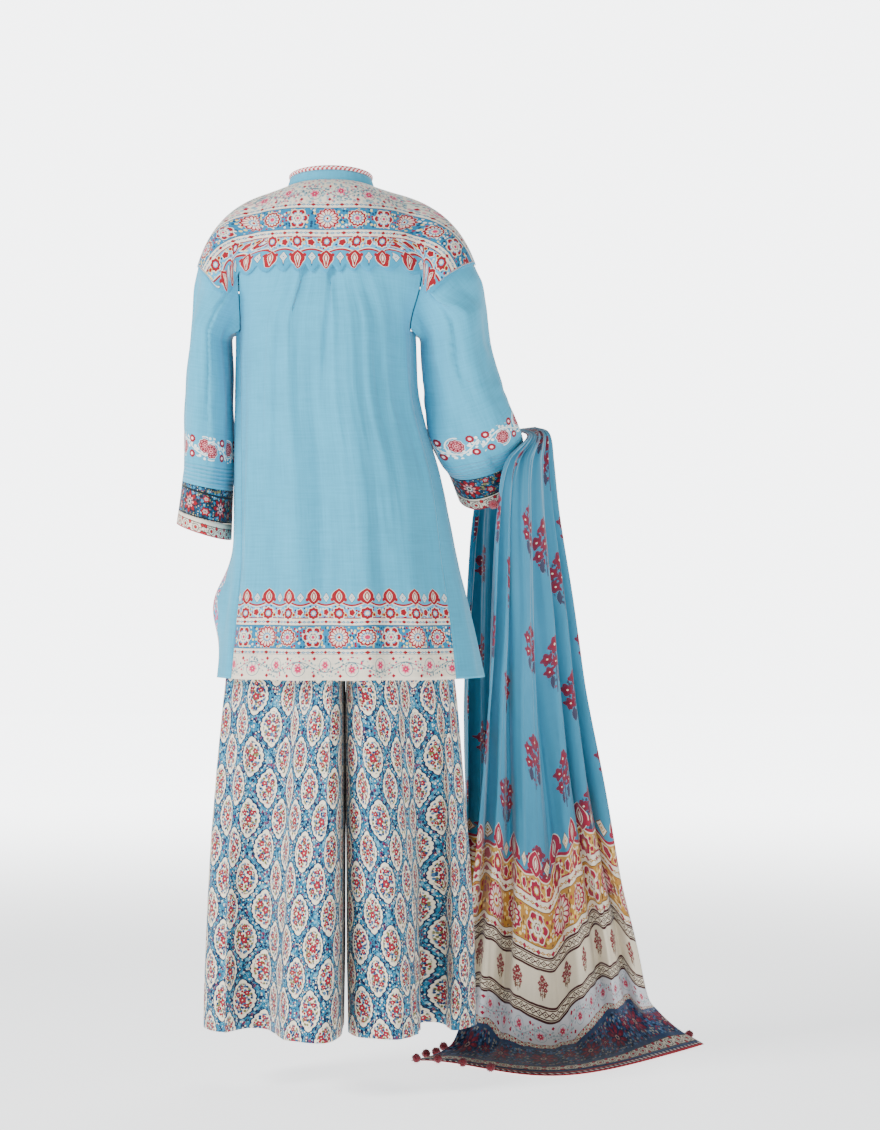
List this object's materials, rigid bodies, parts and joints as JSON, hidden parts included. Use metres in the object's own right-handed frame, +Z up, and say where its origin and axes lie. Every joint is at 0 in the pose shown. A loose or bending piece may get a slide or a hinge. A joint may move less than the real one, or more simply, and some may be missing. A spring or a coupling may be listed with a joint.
{
  "type": "salwar kameez suit with palazzo trousers and dupatta, worn form",
  "caption": "Block-printed salwar kameez suit in its worn form: A-line kameez with printed yoke, wide printed trousers and a dupatta over one forearm.",
  "frame": {"origin": "base of the neck, where the wearer's shoulders hold the suit", "axes": "+Z up; -Y is the back of the suit, the side that the picture shows; +X is the wearer's right"},
  "size_m": [0.893, 0.5989, 1.4874],
  "materials": {
    "kameez_cloth": "soft slub cotton with a faint sheen",
    "yoke_print": "block-printed cotton",
    "striped_trim": "striped piping",
    "cuff_print": "dark block-printed cotton",
    "trouser_print": "block-printed cotton",
    "dupatta_cloth": "sheer mulmul cotton",
    "pompom_wool": "cut wool"
  },
  "bodies": {
    "root": {"collar_band": "kameez_cloth", "collar_piping": "striped_trim", "back_yoke": "yoke_print", "back_panel": "kameez_cloth", "front_panel": "kameez_cloth", "side_gore_left": "kameez_cloth", "side_gore_right": "kameez_cloth", "sleeve_left": "kameez_cloth", "sleeve_right": "kameez_cloth", "cuff_panel_left": "cuff_print", "cuff_panel_right": "cuff_print", "cuff_border_left": "cuff_print", "cuff_border_right": "cuff_print", "trouser_leg_left": "trouser_print", "trouser_leg_right": "trouser_print", "waistband": "trouser_print", "dupatta_near_fall": "dupatta_cloth", "dupatta_far_fall": "dupatta_cloth", "dupatta_near_trim": "striped_trim", "dupatta_far_trim": "striped_trim", "pompom_01": "pompom_wool", "pompom_02": "pompom_wool", "pompom_03": "pompom_wool", "pompom_04": "pompom_wool", "pompom_05": "pompom_wool", "pompom_06": "pompom_wool", "pompom_07": "pompom_wool", "pompom_08": "pompom_wool", "pompom_09": "pompom_wool", "pompom_10": "pompom_wool", "pompom_11": "pompom_wool", "pompom_12": "pompom_wool", "pompom_13": "pompom_wool"}
  },
  "joints": []
}
